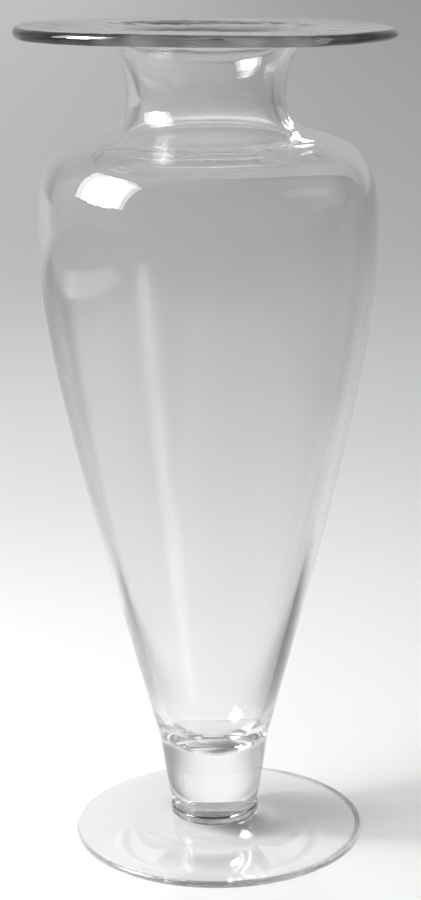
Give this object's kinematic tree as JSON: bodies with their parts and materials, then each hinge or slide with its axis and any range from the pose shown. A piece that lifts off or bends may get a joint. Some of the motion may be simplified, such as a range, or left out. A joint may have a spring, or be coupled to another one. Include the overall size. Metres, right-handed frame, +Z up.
{
  "type": "footed baluster vase",
  "caption": "Tall clear glass vase on a thin round foot, with a tapering body, a waisted neck and a wide flat rim.",
  "frame": {"origin": "on the table under the middle of the foot", "axes": "+Z up along the vase's axis, from the foot to the rim; X and Y are alike because the vase is round"},
  "size_m": [0.1784, 0.1784, 0.4],
  "materials": {
    "foot_glass": "clear, fire polished",
    "collar_glass": "clear, fire polished",
    "stem_glass": "clear, fire polished",
    "bowl_glass": "clear, blown, slightly rippled"
  },
  "bodies": {
    "root": {"foot": "foot_glass", "collar": "collar_glass", "stem": "stem_glass", "bowl": "bowl_glass"}
  },
  "joints": []
}
